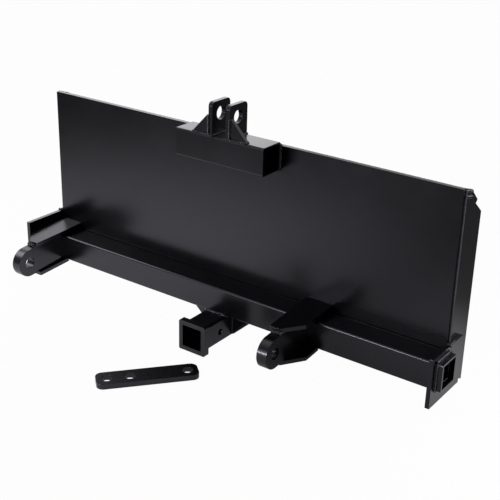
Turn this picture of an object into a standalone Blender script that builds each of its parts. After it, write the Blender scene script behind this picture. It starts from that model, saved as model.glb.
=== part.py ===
"""Skid steer three point adapter, welded from square tube and flat steel plate.

A tall back plate with a folded upper hook lip and a slotted lower ledge takes the machine's
coupler. In front of it run a square cross tube with an end plate at each side, two lower hitch
arms with round-nosed lugs, a short top box with two pin ears, and a receiver under the cross
tube. A loose flat link bar with three holes lies on the ground in front. Sizes are in
millimetres until the last step, which places everything in metres.
"""

import math

import bmesh
import bpy
from mathutils import Matrix, Vector

# Stock and fits
plate = 9.5                 # thickness of every ordinary plate
lug_plate = 25.4            # thickness of the hitch lugs
ear_plate = 11.0            # thickness of the pin ears
seat = 0.3                  # clearance left at every welded seat
edge_break = 0.9            # rounding of a cut plate edge

# Back plate. X runs along it from its left edge, Y back from the cross tube's front face,
# Z up from the cross tube's top face.
width = 1140.0
plate_top = 363.0
plate_corner = 2.0

# Cross tube
tube = 66.0
tube_wall = 4.8
tube_corner = 4.5
tube_stub = 16.0            # how far the tube stands out past each end plate

# Upper hook lip: two straight runs with a fold between them
lip_set = 3.0               # the lip begins this far below the plate's top edge
lip_runs = ((36.0, 11.5), (30.5, 27.5))
lip_fold_outer = 12.0
lip_fold_inner = 3.0

# Lower ledge with two wedge pin slots
ledge_back = 162.0
ledge_slope = math.radians(24.3)
slot_setback = 33.5         # from the back plate's end to the near end of a slot
slot_long = 76.0
slot_wide = 29.0
slot_corner = 6.0
slot_offset = 4.0           # the slots sit this far behind the ledge's middle

# Side gussets behind the plate, set in from its ends
gusset_inset = 0.0
gusset_back = 169.0
gusset_shoulder = 287.5

# End plates on the cross tube
end_plate = 10.0
end_long = 142.5
end_high = 118.3
end_corner = 1.5
right_end_reach = 14.5      # how far each end plate stands out before the tube's front face
right_end_top = 13.6
left_end_reach = 53.0
left_end_top = 35.5

# Lower hitch arms, nose down about the tube's top front edge. The right arm is the left one
# mirrored. Heights and reaches are measured along each piece's own slope.
arm_slope = math.radians(3.2)       # of the top plates
lug_slope = math.radians(4.8)       # of the lugs and the bottom plates
arm_wide = 68.0
right_arm_side = 855.0      # outer side of the right arm
arm_reach = 90.0            # to the narrow tips of the arm plates
arm_bend_reach = 42.0       # to the bend where they begin to narrow
arm_tip_outer = 38.0
arm_tip_inner = 65.0
arm_tip_corner = 3.0
arm_lift = 3.8              # underside of the top plates above the tube's top front edge
lug_high = 72.0
lug_side = 58.3             # inner face of the left lug
eye_reach = 114.4
eye_bore = 29.0
bottom_back = 14.0          # the bottom plates end here, under the tube

# Top box and its ears
box_left = 451.5
box_right = 696.8
box_top = 371.5
ear_front = 1.5
ear_long = 66.5
ear_top = 448.0
ear_corner = 10.0
ear_gap = 37.0
ear_bore = 31.5
ear_bore_y = 34.0
ear_bore_z = 418.5
rib_base = 43.5
rib_rise = 46.5
rib_front = 2.0
rib_nose = 4.0

# Receiver under the cross tube
receiver = 61.5
receiver_wall = 3.4
receiver_corner = 6.0
receiver_shift = 1.8        # the receiver sits this far to the right of the plate's middle
receiver_reach = 90.0       # how far the mouth stands out before the tube's front face
collar = 76.5
collar_deep = 16.0
collar_corner = 4.0
pin_bore = 16.0
pin_reach = 20.0
pin_drop = 2.5              # the pin hole sits this far below the tube's middle
brace_run = 62.0
brace_drop = 57.0
brace_front = 27.0

# Link bar on the ground
bar_wide = 54.0
bar_thick = 12.7
bar_margin = 24.5
bar_pitch_near = 51.4
bar_pitch_far = 130.1
bar_bore = 25.5
bar_corner = 16.0
bar_hole_at = (510.3, -312.6)
bar_turn = math.radians(49.6)
bar_edge = 1.5

# Positions that follow from the sizes
middle = width / 2
plate_front = tube + seat
plate_back = plate_front + plate
plate_bottom = -tube
ground = -tube - seat - receiver / 2 - collar / 2
arm_mirror = right_arm_side / 2
lug_top = arm_lift - 1.2 * seat
lug_bottom = lug_top - lug_high
bottom_plate_top = lug_bottom - seat
ear_middle = (box_left + box_right) / 2
ear_span = ear_gap / 2 + ear_plate
receiver_middle = middle + receiver_shift
bar_holes = (0.0, bar_pitch_near, bar_pitch_near + bar_pitch_far)
bar_long = bar_holes[-1] + 2 * bar_margin


def bar_front():
    """The Y of the bar's nearest point."""
    reach = []
    for along in (bar_corner - bar_margin, bar_long - bar_margin - bar_corner):
        for across in (bar_corner - bar_wide / 2, bar_wide / 2 - bar_corner):
            reach.append(along * math.sin(bar_turn) + across * math.cos(bar_turn))
    return bar_hole_at[1] + min(reach) - bar_corner


origin = Vector((middle, (bar_front() + gusset_back) / 2, ground))
to_metres = Matrix.Scale(0.001, 4) @ Matrix.Translation(-origin)

# Columns send the outline's two directions and its normal to the world
planes = {
    "XY": Matrix(((1, 0, 0, 0), (0, 1, 0, 0), (0, 0, 1, 0), (0, 0, 0, 1))),
    "YZ": Matrix(((0, 0, 1, 0), (1, 0, 0, 0), (0, 1, 0, 0), (0, 0, 0, 1))),
    "XZ": Matrix(((1, 0, 0, 0), (0, 0, -1, 0), (0, 1, 0, 0), (0, 0, 0, 1))),
}


def clear_scene():
    for obj in list(bpy.data.objects):
        bpy.data.objects.remove(obj, do_unlink=True)
    for group in list(bpy.data.collections):
        bpy.data.collections.remove(group)


def new_collection(name):
    group = bpy.data.collections.new(name)
    bpy.context.scene.collection.children.link(group)
    return group


def coat(name, rough):
    """A black baked coating, one material for each piece."""
    material = bpy.data.materials.new(name + "_coat")
    material.use_nodes = True
    shader = material.node_tree.nodes["Principled BSDF"]
    shader.inputs["Base Color"].default_value = (0.022, 0.022, 0.024, 1.0)
    shader.inputs["Roughness"].default_value = rough
    shader.inputs["Metallic"].default_value = 0.0
    return material


def rounded(corners, steps=6):
    """The outline through (u, v, radius) corners, each rounded to its radius."""
    points = []
    count = len(corners)
    for index, (u, v, radius) in enumerate(corners):
        here = Vector((u, v))
        if radius == 0:
            points.append(here)
            continue
        back = (Vector(corners[index - 1][:2]) - here).normalized()
        ahead = (Vector(corners[(index + 1) % count][:2]) - here).normalized()
        half = back.angle(ahead) / 2
        centre = here + (back + ahead).normalized() * (radius / math.sin(half))
        start = here + back * (radius / math.tan(half)) - centre
        end = here + ahead * (radius / math.tan(half)) - centre
        first = math.atan2(start.y, start.x)
        turn = math.atan2(start.x * end.y - start.y * end.x, start.dot(end))
        for step in range(steps + 1):
            angle = first + turn * step / steps
            points.append(centre + radius * Vector((math.cos(angle), math.sin(angle))))
    return points


def ring(u, v, radius, steps=40):
    turns = [2 * math.pi * step / steps for step in range(steps)]
    return [Vector((u + radius * math.cos(t), v + radius * math.sin(t))) for t in turns]


def box_outline(low, high, radius, steps=6):
    """A rounded rectangle between two opposite corners."""
    corners = ((low[0], low[1]), (high[0], low[1]), (high[0], high[1]), (low[0], high[1]))
    return rounded([(u, v, radius) for u, v in corners], steps)


def square(centre, side, radius, steps=6):
    half = side / 2
    low = (centre[0] - half, centre[1] - half)
    high = (centre[0] + half, centre[1] + half)
    return box_outline(low, high, radius, steps)


def slab_mesh(name, loops, plane, low, high):
    """A closed flat piece: the outlines in one plane, filled between low and high on its normal."""
    curve = bpy.data.curves.new(name, "CURVE")
    curve.dimensions = "2D"
    curve.fill_mode = "BOTH"
    curve.extrude = (high - low) / 2
    for loop in loops:
        spline = curve.splines.new("POLY")
        spline.points.add(len(loop) - 1)
        for point, place in zip(spline.points, loop):
            point.co = (place.x, place.y, 0, 1)
        spline.use_cyclic_u = True
    holder = bpy.data.objects.new(name + "_outline", curve)
    bpy.context.scene.collection.objects.link(holder)
    graph = bpy.context.evaluated_depsgraph_get()
    mesh = bpy.data.meshes.new_from_object(holder.evaluated_get(graph))
    bpy.data.objects.remove(holder, do_unlink=True)
    bpy.data.curves.remove(curve)
    normal = planes[plane].col[2].xyz
    middle_of = (high + low) / 2 * (1 if sum(normal) > 0 else -1)
    mesh.transform(planes[plane] @ Matrix.Translation((0, 0, middle_of)))
    work = bmesh.new()
    work.from_mesh(mesh)
    bmesh.ops.remove_doubles(work, verts=work.verts, dist=0.01)
    bmesh.ops.recalc_face_normals(work, faces=work.faces)
    work.to_mesh(mesh)
    work.free()
    mesh.name = name
    return mesh


def add_object(name, mesh, group, rounding=edge_break, rough=0.36):
    """Puts a mesh in the scene at its place in metres, with broken edges and its own coat."""
    mesh.transform(to_metres)
    mesh.shade_smooth()
    mesh.set_sharp_from_angle(angle=math.radians(32))
    obj = bpy.data.objects.new(name, mesh)
    obj.data.materials.append(coat(name, rough))
    group.objects.link(obj)
    if rounding:
        bevel = obj.modifiers.new("edge_break", "BEVEL")
        bevel.width = rounding * 0.001
        bevel.segments = 2
        bevel.limit_method = "ANGLE"
        bevel.angle_limit = math.radians(40)
        bevel.use_clamp_overlap = True
    return obj


def slab(name, loops, plane, low, high, rounding=edge_break, rough=0.36):
    return add_object(name, slab_mesh(name, loops, plane, low, high), parts, rounding, rough)


def cut(obj, mesh):
    """Takes a closed helper shape out of a piece."""
    mesh.transform(to_metres)
    cutter = bpy.data.objects.new(mesh.name, mesh)
    cutter.hide_render = True
    cutter.display_type = "WIRE"
    cutters.objects.link(cutter)
    boolean = obj.modifiers.new(mesh.name, "BOOLEAN")
    boolean.operation = "DIFFERENCE"
    boolean.solver = "EXACT"
    boolean.object = cutter
    # The cut comes before the edges are broken
    obj.modifiers.move(len(obj.modifiers) - 1, 0)


def flipped(points, flip):
    """The outline itself, or its mirror image about the line between the two arms."""
    if not flip:
        return points
    return [Vector((2 * arm_mirror - p.x, p.y)) for p in reversed(points)]


def mirrored_span(low, high, centre):
    return 2 * centre - high, 2 * centre - low


def build_back():
    outline = box_outline((0, plate_bottom), (width, plate_top), plate_corner, 3)
    slab("back_plate", [outline], "XZ", plate_front, plate_back)


def lip_profile():
    """Outer and inner points of the folded lip, from the plate to its free edge."""
    (run_1, drop_1), (run_2, drop_2) = lip_runs
    start = Vector((plate_back + seat, plate_top - lip_set))
    fold = start + Vector((run_1, -drop_1))
    tip = fold + Vector((run_2, -drop_2))
    along_1 = (fold - start).normalized()
    along_2 = (tip - fold).normalized()
    down_1 = Vector((along_1.y, -along_1.x))
    down_2 = Vector((along_2.y, -along_2.x))
    inner_tip = tip + plate * down_2
    bend = (down_1 + down_2).normalized()
    inner_fold = fold + bend * (plate / bend.dot(down_1))
    inner_start = Vector((start.x, inner_fold.y + run_to(inner_fold.x - start.x, along_1)))
    return [start, fold, tip], [inner_start, inner_fold, inner_tip]


def run_to(distance, along):
    return -distance * along.y / along.x


def build_lip():
    outer, inner = lip_profile()
    points = outer + inner[::-1]
    radii = (0, lip_fold_outer, 0, 0, lip_fold_inner, 0)
    outline = rounded([(p.x, p.y, r) for p, r in zip(points, radii)])
    slab("upper_hook_lip", [outline], "YZ", 0, width)


def ledge_top(y):
    return plate_bottom - seat - (y - plate_back) * math.tan(ledge_slope)


def ledge_under(y):
    return ledge_top(y) - plate / math.cos(ledge_slope)


def build_ledge():
    square_end = plate * math.sin(ledge_slope)
    points = [
        Vector((plate_front, plate_bottom - seat)),
        Vector((plate_back, plate_bottom - seat)),
        Vector((ledge_back, ledge_top(ledge_back))),
        Vector((ledge_back - square_end, ledge_under(ledge_back - square_end))),
        Vector((plate_front, ledge_under(plate_front))),
    ]
    inside = gusset_inset + plate + seat
    ledge = slab("lower_lock_ledge", [points], "YZ", inside, width - inside)
    slot_y = (plate_back + ledge_back) / 2 + slot_offset
    tilt = Matrix.Translation((0, slot_y, ledge_top(slot_y))) @ Matrix.Rotation(-ledge_slope, 4, "X")
    for side in (-1, 1):
        centre = middle + side * (width / 2 - slot_setback - slot_long / 2)
        low = (centre - slot_long / 2, -slot_wide / 2)
        high = (centre + slot_long / 2, slot_wide / 2)
        outline = box_outline(low, high, slot_corner, 4)
        shape = slab_mesh("slot_cutter_%s" % side_word(side), [outline], "XY", -3 * plate, 2 * plate)
        shape.transform(tilt)
        cut(ledge, shape)


def side_word(side):
    return "left" if side < 0 else "right"


def build_side_gussets():
    front = plate_back + seat
    _, inner = lip_profile()
    points = [
        (front, ledge_under(front)),
        (gusset_back, ledge_under(gusset_back)),
        (gusset_back, gusset_shoulder),
        (inner[2].x, inner[2].y - seat * 1.4),
        (inner[1].x, inner[1].y - seat * 1.4),
        (front, inner[0].y - seat * 1.4),
    ]
    outline = [Vector(p) for p in points]
    for side in (-1, 1):
        low, high = gusset_inset, gusset_inset + plate
        if side > 0:
            low, high = mirrored_span(low, high, middle)
        slab(side_word(side) + "_side_gusset", [outline], "YZ", low, high)


def tube_loops(centre, side, wall, corner):
    inner_corner = max(corner - wall, 1.6)
    return [square(centre, side, corner), square(centre, side - 2 * wall, inner_corner, 4)]


def build_cross_tube():
    reach = seat + end_plate + tube_stub
    loops = tube_loops((tube / 2, -tube / 2), tube, tube_wall, tube_corner)
    slab("cross_tube", loops, "YZ", -reach, width + reach, 0.5, 0.33)


def build_end_plates():
    hole = square((tube / 2, -tube / 2), tube + 2 * seat, tube_corner + seat)
    for side in (-1, 1):
        reach, top = (left_end_reach, left_end_top) if side < 0 else (right_end_reach, right_end_top)
        outline = box_outline((-reach, top - end_high), (end_long - reach, top), end_corner, 3)
        low, high = -seat - end_plate, -seat
        if side > 0:
            low, high = mirrored_span(low, high, middle)
        slab(side_word(side) + "_end_plate", [outline, hole], "YZ", low, high)


def along(slope, depth, height):
    """How far along a sloping piece the point of this height comes to the depth."""
    return (depth + height * math.sin(slope)) / math.cos(slope)


def arm_outline(rear):
    corners = [
        (0, rear, 0),
        (0, -arm_bend_reach, 2.0),
        (arm_tip_outer, -arm_reach, arm_tip_corner),
        (arm_tip_inner, -arm_reach, arm_tip_corner),
        (arm_wide, 0, 0),
        (arm_wide, rear, 0),
    ]
    return rounded(corners, 3)


def lug_outline():
    """The lug from the tube's front face to its round nose, which takes up its whole height."""
    radius = lug_high / 2
    points = [
        Vector((along(lug_slope, -seat, lug_bottom), lug_bottom)),
        Vector((along(lug_slope, -seat, lug_top), lug_top)),
    ]
    steps = 32
    for step in range(steps + 1):
        angle = math.pi / 2 + math.pi * step / steps
        away = Vector((math.cos(angle), math.sin(angle)))
        points.append(Vector((-eye_reach, lug_top - radius)) + radius * away)
    return points


def lean(name, mesh, slope, rounding=edge_break):
    mesh.transform(Matrix.Rotation(slope, 4, "X"))
    add_object(name, mesh, parts, rounding)


def build_arms():
    for side in (-1, 1):
        flip = side > 0
        word = side_word(side)
        top = flipped(arm_outline(along(arm_slope, plate_front - seat, arm_lift)), flip)
        name = word + "_arm_top_plate"
        lean(name, slab_mesh(name, [top], "XY", arm_lift, arm_lift + plate), arm_slope)
        bottom = flipped(arm_outline(along(lug_slope, bottom_back, bottom_plate_top)), flip)
        name = word + "_arm_bottom_plate"
        low, high = bottom_plate_top - plate, bottom_plate_top
        lean(name, slab_mesh(name, [bottom], "XY", low, high), lug_slope)
        low, high = lug_side - lug_plate, lug_side
        if flip:
            low, high = mirrored_span(low, high, arm_mirror)
        loops = [lug_outline(), ring(-eye_reach, lug_top - lug_high / 2, eye_bore / 2)]
        name = word + "_hitch_lug"
        lean(name, slab_mesh(name, loops, "YZ", low, high), lug_slope, 1.4)


def build_top_box():
    centre = (tube / 2, box_top - tube / 2)
    loops = tube_loops(centre, tube, tube_wall, tube_corner)
    slab("top_box_tube", loops, "YZ", box_left, box_right, 0.5, 0.33)
    base = box_top + seat
    outline = rounded([
        (ear_front, base, 0),
        (ear_front + ear_long, base, 0),
        (ear_front + ear_long, ear_top, ear_corner),
        (ear_front, ear_top, ear_corner),
    ])
    bore = ring(ear_bore_y, ear_bore_z, ear_bore / 2)
    for side in (-1, 1):
        word = side_word(side)
        low, high = ear_middle - ear_span, ear_middle - ear_gap / 2
        foot = ear_middle - ear_span - seat
        rib = [
            Vector((foot - rib_base, base)),
            Vector((foot, base)),
            Vector((foot, base + rib_rise)),
            Vector((foot - rib_nose, base + rib_rise)),
            Vector((foot - rib_base, base + rib_nose)),
        ]
        if side > 0:
            low, high = mirrored_span(low, high, ear_middle)
            rib = [Vector((2 * ear_middle - p.x, p.y)) for p in reversed(rib)]
        slab(word + "_pin_ear", [outline, bore], "YZ", low, high)
        slab(word + "_ear_rib", [rib], "XZ", rib_front, rib_front + plate)


def build_receiver():
    centre = (receiver_middle, -tube - seat - receiver / 2)
    loops = tube_loops(centre, receiver, receiver_wall, receiver_corner)
    body = slab("receiver_tube", loops, "XZ", -receiver_reach, tube, 0.5, 0.33)
    bore = ring(-pin_reach, centre[1] - pin_drop, pin_bore / 2, 24)
    reach = receiver
    cut(body, slab_mesh("pin_cutter", [bore], "YZ", receiver_middle - reach, receiver_middle + reach))
    band = [
        square(centre, collar, collar_corner),
        square(centre, receiver + 2 * seat, receiver_corner + seat),
    ]
    slab("receiver_collar", band, "XZ", -receiver_reach, collar_deep - receiver_reach)
    for side in (-1, 1):
        root = receiver_middle - receiver / 2 - seat
        top = -tube - seat
        brace = [
            Vector((root, top)),
            Vector((root, top - brace_drop)),
            Vector((root - rib_nose, top - brace_drop)),
            Vector((root - brace_run, top - rib_nose)),
            Vector((root - brace_run, top)),
        ]
        if side > 0:
            brace = [Vector((2 * receiver_middle - p.x, p.y)) for p in reversed(brace)]
        slab(side_word(side) + "_receiver_brace", [brace], "XZ", brace_front, brace_front + plate)


def build_link_bar():
    low = (-bar_margin, -bar_wide / 2)
    high = (bar_long - bar_margin, bar_wide / 2)
    loops = [box_outline(low, high, bar_corner, 10)]
    for hole in bar_holes:
        loops.append(ring(hole, 0, bar_bore / 2))
    mesh = slab_mesh("link_bar", loops, "XY", 0, bar_thick)
    turned = Matrix.Rotation(bar_turn, 4, "Z")
    mesh.transform(Matrix.Translation((bar_hole_at[0], bar_hole_at[1], ground)) @ turned)
    add_object("link_bar", mesh, parts, bar_edge, 0.3)


clear_scene()
parts = new_collection("three_point_adapter")
cutters = new_collection("cutters")
cutters.hide_render = True
build_back()
build_lip()
build_ledge()
build_side_gussets()
build_cross_tube()
build_end_plates()
build_arms()
build_top_box()
build_receiver()
build_link_bar()
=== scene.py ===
"""Looks of the skid steer three point adapter: its weld beads, its black baked coat, the floor,
the light and the camera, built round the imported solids. Sizes are in metres.
"""

import math

import bpy
from mathutils import Matrix, Vector


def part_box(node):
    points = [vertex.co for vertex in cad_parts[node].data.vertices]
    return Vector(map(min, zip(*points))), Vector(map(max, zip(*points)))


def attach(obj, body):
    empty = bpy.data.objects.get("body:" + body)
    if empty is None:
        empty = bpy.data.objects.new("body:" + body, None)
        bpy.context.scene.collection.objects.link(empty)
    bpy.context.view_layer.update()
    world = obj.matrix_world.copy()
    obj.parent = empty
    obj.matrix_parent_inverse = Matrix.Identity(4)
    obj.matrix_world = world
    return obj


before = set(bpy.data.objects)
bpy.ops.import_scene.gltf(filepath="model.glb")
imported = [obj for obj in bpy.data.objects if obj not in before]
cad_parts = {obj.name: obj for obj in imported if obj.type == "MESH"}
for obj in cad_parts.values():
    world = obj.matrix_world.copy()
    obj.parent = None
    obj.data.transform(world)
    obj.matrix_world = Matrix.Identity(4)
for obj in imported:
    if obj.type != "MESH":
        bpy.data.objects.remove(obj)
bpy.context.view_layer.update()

# Weld beads
RIPPLE_PITCH = 0.0034       # from one ripple to the next
RIPPLE_HALF = 0.9           # half the length of a ripple, in pitches
RIPPLE_LEAN = math.radians(24)
UNEVEN = 0.00035            # how far a ripple's skin strays
FILLET = 0.0052             # leg of an ordinary fillet weld
SMALL_FILLET = 0.0040
RING = 0.0066               # leg of the wide ring round the tube's stub
SIDE_BEAD = 0.0044          # half the width of the bead down the plate's edge

# How far a bead keeps from its edge, or stops before the edge's end
HAIR = 0.001
SLIGHT = 0.002
SHORT = 0.003
STOP = 0.004

# Where single seams run
FOOT_START = 0.35           # the end plate's front seam covers its thickness from this share on
FOOT_RUN = 0.012            # its side seam runs this far past the back plate
ARM_SEAM_START = 0.008      # the arm plate's side seam begins this far past the tube's face
ARM_SLOPE = math.radians(3.2)   # the arm's top plate rises towards the tube
LIP_SEAM_DROP = 0.0036      # the lip's seam lies this far below the back plate's top
LIP_END = (                 # the run round the lip's end: back from the plate, down from its top
    (0.001, 0.005),
    (0.031, 0.015),
    (0.031, 0.026),
    (0.001, 0.018),
)

# Coats
COAT_DARK = (0.0010, 0.0010, 0.0018, 1)
COAT_PALE = (0.0022, 0.0022, 0.0032, 1)
COAT_IOR = 1.65
COAT_TINT = (0.88, 0.87, 1.0, 1)
COAT_STEP = 1.7             # each solid takes its unevenness this much further on
ARM_SAG = (-0.075, 0.085, 0)    # how the left arm's top leans in the light

# Camera, as the photograph was taken
CAMERA_TARGET = Vector((0.05202, 0.21984, 0.21770))
CAMERA_DISTANCE = 2.450
CAMERA_AZIMUTH = math.radians(34.286)
CAMERA_ELEVATION = math.radians(23.213)
CAMERA_ROLL = math.radians(1.918)
CAMERA_LENS = 73.105
CAMERA_SENSOR = 36
CAMERA_SHIFT = (-0.0325, -0.0120)

# Floor
FLOOR_SIZE = 12
FLOOR_GREY = 0.86           # how pale the paper is
FLOOR_SEEN = 0.975          # share of plain white in the floor as the camera sees it
FLOOR_MIRRORED = 0.035      # and as the coat mirrors it, away from the bright patches
# Painted pools of light on the floor: brighter white that only the coat's gloss sees
FLOOR_PAINTED_LIGHT_POOLS = (           # middle, reach of the full and of the last brightness, full share
    ((-0.47, -0.14, 0), 0.05, 0.95, 0.72),
    ((0.78, 0.24, 0), 0.06, 0.46, 0.72),
    ((0.50, -0.27, 0), 0.05, 0.50, 0.36),
)
# Painted shade: in the coat's gloss the paper darkens away from the lit spot, in place of the
# lamps' falloff
PAINTED_SHADE_FROM = (-0.62, -0.16, 0)     # the coat mirrors the paper darker, the further from here
PAINTED_SHADE_REACH = (0.45, 1.30)
PAINTED_SHADE_SHARE = 0.80

# Room and lamps
BACKDROP_SIDE = (-0.35, 1, 0)   # where the gloss finds the white backdrop
BACKDROP_MIRRORED = 0.68    # share of white it finds there
ROOM_MIRRORED = 0.08        # and in the room in front
BACKDROP_EDGE = (-0.5, 0.15)    # from the room to the backdrop, as cosines from its side
DOME_SIDE = (-0.62, 0.70, 0.35)     # the bright side of the dome, behind the left end
DOME_DIM = 0.03
DOME_BRIGHT = 0.5
DOME_EDGE = (-0.1, 0.9)     # from dim to bright, as cosines from its side
LAMPS = {                   # place, aim, width and depth of the soft box, watts
    "above": ((-1.10, -0.25, 0.85), (-0.60, -0.1, 0), (0.6, 0.6), 3.4),
    "front": ((-1.95, -5.40, 0.88), (0.3, 0, 0.1), (1.40, 0.58), 100),
    "room": ((-0.55, -2.20, 1.28), (0.6, 0, 0.13), (0.50, 0.45), 0.9),
    "behind": ((-2.75, 2.85, 2.35), (-0.2, 0, 0.3), (2.1, 2.4), 21),
    "right": ((1.05, 0.20, 0.50), (0.72, 0.22, 0), (0.35, 0.35), 2.6),
}


def deselect():
    bpy.ops.object.select_all(action="DESELECT")


def corners(node):
    """Lowest and highest corner of a solid."""
    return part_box(node)


def ripple_row(start, end, size):
    """One straight bead: leaning, overlapping ripples from start to end."""
    along = end - start
    count = max(2, round(along.length / RIPPLE_PITCH) + 1)
    deselect()
    bpy.ops.mesh.primitive_uv_sphere_add(segments=10, ring_count=6, radius=1)
    bead = bpy.context.active_object
    bpy.ops.object.mode_set(mode="EDIT")
    bpy.ops.mesh.select_all(action="SELECT")
    bpy.ops.transform.resize(value=(RIPPLE_PITCH * RIPPLE_HALF, size, size))
    bpy.ops.transform.rotate(value=RIPPLE_LEAN, orient_axis="Y", center_override=(0, 0, 0))
    bpy.ops.object.mode_set(mode="OBJECT")
    row = bead.modifiers.new("row", "ARRAY")
    row.count = count
    row.use_relative_offset = False
    row.use_constant_offset = True
    row.constant_offset_displace = (along.length / (count - 1), 0, 0)
    bpy.ops.object.modifier_apply(modifier=row.name)
    bead.rotation_mode = "QUATERNION"
    bead.rotation_quaternion = along.to_track_quat("X", "Z")
    bead.location = start
    bpy.ops.object.transform_apply(location=True, rotation=True, scale=True)
    bpy.ops.object.mode_set(mode="EDIT")
    bpy.ops.mesh.select_all(action="SELECT")
    bpy.ops.transform.vertex_random(offset=UNEVEN, uniform=1.0, seed=count)
    bpy.ops.object.mode_set(mode="OBJECT")
    return bead


def weld_group(name, seams):
    """All beads of one area as one piece."""
    beads = [ripple_row(Vector(start), Vector(end), size) for start, end, size in seams]
    deselect()
    for bead in beads:
        bead.select_set(True)
    bpy.context.view_layer.objects.active = beads[0]
    if len(beads) > 1:
        bpy.ops.object.join()
    piece = bpy.context.active_object
    piece.name = name
    bpy.ops.object.shade_smooth()
    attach(piece, "root")
    return piece


def along_x(y, z, low, high, size=FILLET):
    return ((low, y, z), (high, y, z), size)


def along_y(x, z, low, high, size=FILLET):
    return ((x, low, z), (x, high, z), size)


def along_z(x, y, low, high, size=FILLET):
    return ((x, y, low), (x, y, high), size)


def inset(low, high, margin):
    return low + margin, high - margin


def ear_welds():
    """Round each ear's foot, and along its rib on the box and up the ear."""
    box_top = corners("top_box_tube")[1].z
    seams = []
    for word in ("left", "right"):
        low, high = corners(word + "_pin_ear")
        for x in (low.x, high.x):
            seams.append(along_y(x, box_top, *inset(low.y, high.y, HAIR), SMALL_FILLET))
        seams.append(along_x(low.y, box_top - HAIR / 2, low.x, high.x, SMALL_FILLET))
        rib_low, rib_high = corners(word + "_ear_rib")
        root = low.x if word == "left" else high.x
        toe = rib_low.x if word == "left" else rib_high.x
        for y in (rib_low.y, rib_high.y):
            seams.append(along_x(y, box_top, *sorted((root, toe)), SMALL_FILLET))
            seams.append(along_z(root, y, box_top, rib_high.z - SHORT, SMALL_FILLET))
        seams.append(along_y(toe, box_top, rib_low.y, rib_high.y, SMALL_FILLET))
    return weld_group("ear_welds", seams)


def top_box_welds():
    """Along the box below and above the back plate, and up both of its ends."""
    low, high = corners("top_box_tube")
    plate_low, plate_high = corners("back_plate")
    seams = [
        along_x(plate_low.y, low.z + SLIGHT, low.x, high.x),
        along_x(plate_low.y + HAIR, plate_high.z, low.x, high.x),
        along_z(low.x, plate_low.y, low.z, plate_high.z),
        along_z(high.x, plate_low.y, low.z, plate_high.z),
    ]
    return weld_group("top_box_welds", seams)


def end_plate_welds(word):
    """Round the tube on both faces of the end plate, but not over it on the inner face, and
    along the end plate's top at the back plate.
    """
    plate_low, plate_high = corners(word + "_end_plate")
    tube_low, tube_high = corners("cross_tube")
    back_low, back_high = corners("back_plate")
    outer = plate_low.x if word == "left" else plate_high.x
    inner = plate_high.x if word == "left" else plate_low.x
    seams = []
    for x, size in ((outer, RING), (inner, SMALL_FILLET)):
        for z in (tube_low.z, tube_high.z):
            if x == outer or z == tube_low.z:
                seams.append(along_y(x, z, *inset(tube_low.y, tube_high.y, SHORT), size))
        for y in (tube_low.y, tube_high.y):
            seams.append(along_z(x, y, *inset(tube_low.z, tube_high.z, SHORT), size))
    top = plate_high.z
    start = inner + FOOT_START * (outer - inner)
    seams.append(along_x(back_low.y - HAIR, top, *sorted((start, outer)), SMALL_FILLET))
    side = outer - math.copysign(SHORT, outer - inner)
    seams.append(along_y(side, top, back_low.y, back_high.y + FOOT_RUN, SMALL_FILLET))
    return weld_group(word + "_end_plate_welds", seams)


def arm_welds(word):
    """Lug to arm plate under the plate's edge, and the plate's left side on the tube."""
    plate_low = corners(word + "_arm_top_plate")[0]
    lug_low, lug_high = corners(word + "_hitch_lug")
    tube_low, tube_high = corners("cross_tube")
    face = tube_low.y

    def under(y):
        return plate_low.z + (y - plate_low.y) * math.tan(ARM_SLOPE)

    nose = plate_low.y + STOP
    rear = face - SLIGHT
    seams = []
    for x in (lug_low.x, lug_high.x):
        seams.append(((x, nose, under(nose)), (x, rear, under(rear)), SMALL_FILLET))
    seams.append(along_x(plate_low.y, plate_low.z - HAIR, *inset(lug_low.x, lug_high.x, SLIGHT)))
    seams.append(along_z(lug_low.x, face, *inset(tube_low.z, tube_high.z, STOP), SMALL_FILLET))
    seams.append(along_y(plate_low.x, tube_high.z, face + ARM_SEAM_START, tube_high.y - STOP))
    return weld_group(word + "_arm_welds", seams)


def receiver_welds():
    """The receiver on the tube, the collar on the receiver, and both braces."""
    low, high = corners("receiver_tube")
    rear = corners("receiver_collar")[1].y
    tube_low, tube_high = corners("cross_tube")
    seams = [along_x(tube_low.y + SHORT, high.z, *inset(low.x, high.x, STOP))]
    for x in inset(low.x, high.x, HAIR):
        seams.append(along_y(x, tube_low.z, tube_low.y + STOP, tube_high.y))
    for z in (low.z, high.z):
        seams.append(along_x(rear, z, *inset(low.x, high.x, STOP), SMALL_FILLET))
    for x in (low.x, high.x):
        seams.append(along_z(x, rear, *inset(low.z, high.z, STOP), SMALL_FILLET))
    for word in ("left", "right"):
        brace_low, brace_high = corners(word + "_receiver_brace")
        root = brace_high.x if word == "left" else brace_low.x
        for y in (brace_low.y, brace_high.y):
            seams.append(along_z(root, y, brace_low.z + SLIGHT, brace_high.z, SMALL_FILLET))
            seams.append(along_x(y, brace_high.z, brace_low.x, brace_high.x, SMALL_FILLET))
    return weld_group("receiver_welds", seams)


def hook_welds():
    """The seam of the upper lip on the plate, and the heavy run round each of its ends."""
    low, high = corners("upper_hook_lip")
    plate_high = corners("back_plate")[1]
    seams = [along_x(plate_high.y, plate_high.z - LIP_SEAM_DROP, low.x, high.x, SMALL_FILLET)]
    for x in inset(low.x, high.x, HAIR):
        near, fold, far, foot = (
            (x, plate_high.y + back, plate_high.z - down) for back, down in LIP_END
        )
        seams += [(near, fold, FILLET), (foot, far, FILLET), (near, foot, FILLET)]
    return weld_group("hook_lip_weld", seams)


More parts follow.
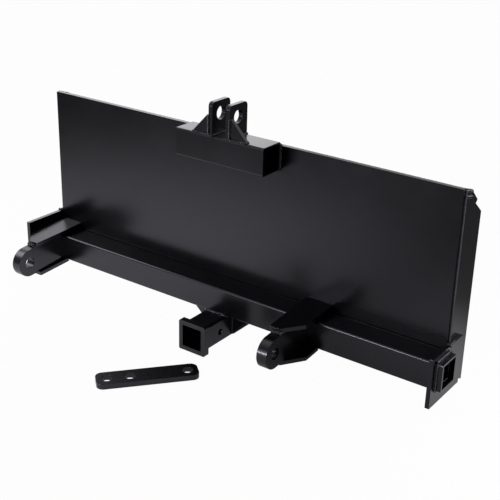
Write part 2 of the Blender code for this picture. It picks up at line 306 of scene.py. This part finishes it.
def side_welds(word):
    """The broad seam down the plate's edge on to the gusset, and the one inside."""
    low, high = corners(word + "_side_gusset")
    plate_low, plate_high = corners("back_plate")
    ledge_top = corners("lower_lock_ledge")[1].z
    outer = low.x if word == "left" else high.x
    inner = high.x if word == "left" else low.x
    seams = [
        along_z(outer, plate_high.y, plate_low.z + STOP, high.z - STOP, SIDE_BEAD),
        along_z(inner, plate_high.y, ledge_top, high.z - STOP, SMALL_FILLET),
    ]
    return weld_group(word + "_side_welds", seams)


def new_material(name):
    material = bpy.data.materials.new(name)
    material.use_nodes = True
    tree = material.node_tree
    tree.nodes.clear()
    return material, tree


def add_node(tree, kind, sockets=None, **settings):
    """A node with its settings and the fixed values of its sockets."""
    node = tree.nodes.new(kind)
    for key, value in settings.items():
        setattr(node, key, value)
    for socket, value in (sockets or {}).items():
        node.inputs[socket].default_value = value
    return node


def link(tree, source, output, target, socket):
    tree.links.new(source.outputs[output], target.inputs[socket])


def map_range(tree, source, output, reach, result, ease="SMOOTHSTEP"):
    """Turns the source's values over a reach into those of the result."""
    ends = dict(zip(("From Min", "From Max", "To Min", "To Max"), (*reach, *result)))
    ramp = add_node(tree, "ShaderNodeMapRange", ends, interpolation_type=ease)
    link(tree, source, output, ramp, "Value")
    return ramp


def measure(tree, operation, coordinate, other):
    """A distance or a dot product from the shaded place to another vector."""
    place = add_node(tree, "ShaderNodeTexCoord")
    result = add_node(tree, "ShaderNodeVectorMath", {1: other}, operation=operation)
    link(tree, place, coordinate, result, 0)
    return result


def baked_coat(name, roughness=0.23, peel=1.0, grain=(1, 1, 1), offset=0.0, sag=None):
    """Satin black coat: slight orange peel, soft waves of the steel below, uneven gloss.
    A sag leans the whole surface, as a plate does that the welds have drawn.
    """
    material, tree = new_material(name)
    place = add_node(tree, "ShaderNodeTexCoord")
    shift = add_node(tree, "ShaderNodeMapping",
                     {"Location": (offset, offset * 0.7, offset * 0.3)})
    link(tree, place, "Object", shift, "Vector")
    stretch = add_node(tree, "ShaderNodeMapping", {"Scale": grain})
    link(tree, shift, "Vector", stretch, "Vector")

    def noise(source, scale, detail, rough=0.5):
        texture = add_node(tree, "ShaderNodeTexNoise",
                           {"Scale": scale, "Detail": detail, "Roughness": rough})
        link(tree, source, "Vector", texture, "Vector")
        return texture

    def bump(source, output, strength, distance):
        relief = add_node(tree, "ShaderNodeBump", {"Strength": strength, "Distance": distance})
        link(tree, source, output, relief, "Height")
        return relief

    shader = add_node(tree, "ShaderNodeBsdfPrincipled",
                      {"IOR": COAT_IOR, "Specular Tint": COAT_TINT})
    output = add_node(tree, "ShaderNodeOutputMaterial")
    link(tree, shader, "BSDF", output, "Surface")

    tone = add_node(tree, "ShaderNodeValToRGB")
    dark, pale = tone.color_ramp.elements
    dark.position, dark.color = 0.35, COAT_DARK
    pale.position, pale.color = 0.75, COAT_PALE
    link(tree, noise(shift, scale=5, detail=4), 0, tone, "Fac")
    link(tree, tone, "Color", shader, "Base Color")

    spots = noise(shift, scale=7, detail=5, rough=0.6)
    uneven = (roughness - 0.03, roughness + 0.04)
    patches = map_range(tree, spots, 0, (0.3, 0.7), uneven, ease="LINEAR")
    link(tree, patches, "Result", shader, "Roughness")

    broad = noise(shift, scale=6, detail=2)
    waves = bump(broad, 0, strength=0.12, distance=0.004)
    skin = noise(stretch, scale=300, detail=3, rough=0.55)
    fine = bump(skin, 0, strength=0.06 * peel, distance=0.0006)
    link(tree, waves, "Normal", fine, "Normal")
    link(tree, fine, "Normal", shader, "Normal")
    if sag:
        fall = measure(tree, "DOT_PRODUCT", "Object", sag)
        lean = bump(fall, "Value", strength=1.0, distance=1.0)
        link(tree, lean, "Normal", waves, "Normal")
    return material


def clothe(obj, material):
    obj.data.materials.clear()
    obj.data.materials.append(material)


def seen_share(tree, seen, mirrored):
    """How much of the plain white a ray takes. The share of mirrored rays comes from a node."""
    path = add_node(tree, "ShaderNodeLightPath")
    share = add_node(tree, "ShaderNodeMath", operation="MULTIPLY")
    link(tree, path, "Is Glossy Ray", share, 0)
    link(tree, mirrored, 0, share, 1)
    for ray in ("Is Camera Ray", "Is Transmission Ray"):
        taken = add_node(tree, "ShaderNodeMath", {1: seen}, operation="MULTIPLY_ADD")
        link(tree, path, ray, taken, 0)
        link(tree, share, 0, taken, 2)
        share = taken
    return share


def finish_surface(tree, share, below, above, kind):
    """The tree's output: one shader, and a second one over it by the share."""
    blend = add_node(tree, "ShaderNodeMixShader")
    link(tree, share, 0, blend, "Fac")
    link(tree, below, 0, blend, 1)
    link(tree, above, 0, blend, 2)
    output = add_node(tree, kind)
    link(tree, blend, "Shader", output, "Surface")


def painted_light_pools(tree):
    """Painted pools of light: the share of white the coat mirrors, full near the lit ends, fading
    outwards.
    """
    brightest = None
    for middle, full, last, share in FLOOR_PAINTED_LIGHT_POOLS:
        away = measure(tree, "DISTANCE", "Object", middle)
        fade = map_range(tree, away, "Value", (full, last), (share, FLOOR_MIRRORED))
        if brightest:
            both = add_node(tree, "ShaderNodeMath", operation="MAXIMUM")
            link(tree, brightest, 0, both, 0)
            link(tree, fade, 0, both, 1)
            fade = both
        brightest = fade
    return brightest


def paper_grey_and_painted_shade(tree):
    """The paper's grey. In the coat's gloss the far floor is darker: painted shade in place of
    the light falling off, as a studio's does.
    """
    away = measure(tree, "DISTANCE", "Object", PAINTED_SHADE_FROM)
    fade = map_range(tree, away, "Value", PAINTED_SHADE_REACH, (0, -FLOOR_GREY * PAINTED_SHADE_SHARE))
    path = add_node(tree, "ShaderNodeLightPath")
    tone = add_node(tree, "ShaderNodeMath", {2: FLOOR_GREY}, operation="MULTIPLY_ADD")
    link(tree, path, "Is Glossy Ray", tone, 0)
    link(tree, fade, "Result", tone, 1)
    return tone


def build_floor():
    """A pale floor that shows white, also in the coat's gloss, and keeps the adapter's shadow."""
    deselect()
    bpy.ops.mesh.primitive_plane_add(size=FLOOR_SIZE, location=(0, 0, 0))
    floor = bpy.context.active_object
    floor.name = "floor"
    material, tree = new_material("floor_paper")
    matt = add_node(tree, "ShaderNodeBsdfDiffuse")
    link(tree, paper_grey_and_painted_shade(tree), "Value", matt, "Color")
    white = add_node(tree, "ShaderNodeEmission", {"Strength": 1.0})
    share = seen_share(tree, FLOOR_SEEN, painted_light_pools(tree))
    finish_surface(tree, share, matt, white, "ShaderNodeOutputMaterial")
    clothe(floor, material)


def build_world():
    """White to the eye, a backdrop and a darker room in the gloss, a soft dome for the rest."""
    world = bpy.data.worlds.new("studio")
    bpy.context.scene.world = world
    world.use_nodes = True
    tree = world.node_tree
    tree.nodes.clear()

    def towards(side, edge, result):
        facing = measure(tree, "DOT_PRODUCT", "Generated", Vector(side).normalized())
        return map_range(tree, facing, "Value", edge, result)

    dome = add_node(tree, "ShaderNodeBackground")
    rise = towards(DOME_SIDE, DOME_EDGE, (DOME_DIM, DOME_BRIGHT))
    link(tree, rise, "Result", dome, "Strength")
    white = add_node(tree, "ShaderNodeBackground", {"Color": (1, 1, 1, 1), "Strength": 1.0})
    mirrored = towards(BACKDROP_SIDE, BACKDROP_EDGE, (ROOM_MIRRORED, BACKDROP_MIRRORED))
    share = seen_share(tree, 1.0, mirrored)
    finish_surface(tree, share, dome, white, "ShaderNodeOutputWorld")


def soft_lamp(name, place, target, size, watts):
    light = bpy.data.lights.new(name, "AREA")
    light.shape = "RECTANGLE"
    light.size, light.size_y = size
    light.energy = watts
    lamp = bpy.data.objects.new(name, light)
    bpy.context.scene.collection.objects.link(lamp)
    lamp.location = place
    lamp.rotation_mode = "QUATERNION"
    lamp.rotation_quaternion = (Vector(target) - Vector(place)).to_track_quat("-Z", "Y")
    lamp.visible_camera = False


def build_camera():
    azimuth, elevation = CAMERA_AZIMUTH, CAMERA_ELEVATION
    back = Vector((
        math.sin(azimuth) * math.cos(elevation),
        -math.cos(azimuth) * math.cos(elevation),
        math.sin(elevation),
    ))
    right = Vector((math.cos(azimuth), math.sin(azimuth), 0))
    up = back.cross(right)
    right, up = (
        right * math.cos(CAMERA_ROLL) + up * math.sin(CAMERA_ROLL),
        up * math.cos(CAMERA_ROLL) - right * math.sin(CAMERA_ROLL),
    )
    data = bpy.data.cameras.new("camera")
    data.lens = CAMERA_LENS
    data.sensor_width = CAMERA_SENSOR
    data.shift_x, data.shift_y = CAMERA_SHIFT
    camera = bpy.data.objects.new("camera", data)
    bpy.context.scene.collection.objects.link(camera)
    turn = Matrix((right, up, back)).transposed().to_4x4()
    camera.matrix_world = Matrix.Translation(CAMERA_TARGET + back * CAMERA_DISTANCE) @ turn
    bpy.context.scene.camera = camera


def build_coats():
    """Every solid gets its own coat, by how its stock was made."""
    for index, (name, node) in enumerate(sorted(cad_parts.items())):
        look = {}
        if name.endswith(("hitch_lug", "pin_ear")):
            look = {"grain": (2.5, 0.04, 0.04), "peel": 5.0}
        elif name == "link_bar":
            look = {"grain": (0.5, 0.5, 1.5), "peel": 2.5}
        elif name == "left_arm_top_plate":
            look = {"roughness": 0.26, "sag": ARM_SAG}
        clothe(node, baked_coat(name + "_coat", offset=index * COAT_STEP, **look))


def build_welds():
    """Glossy beads everywhere but at the sides, where they are dull."""
    groups = [ear_welds(), top_box_welds(), receiver_welds(), hook_welds()]
    for word in ("left", "right"):
        groups += [end_plate_welds(word), arm_welds(word)]
    bead_coat = baked_coat("weld_coat", roughness=0.13, peel=1.4)
    for group in groups:
        clothe(group, bead_coat)
    dull_coat = baked_coat("side_weld_coat", roughness=0.5, peel=1.4)
    for word in ("left", "right"):
        clothe(side_welds(word), dull_coat)


build_welds()
build_coats()
build_floor()
build_world()
for name, (place, aim, size, watts) in LAMPS.items():
    soft_lamp(name, place, aim, size, watts)
build_camera()
bpy.context.scene.view_settings.view_transform = "Standard"
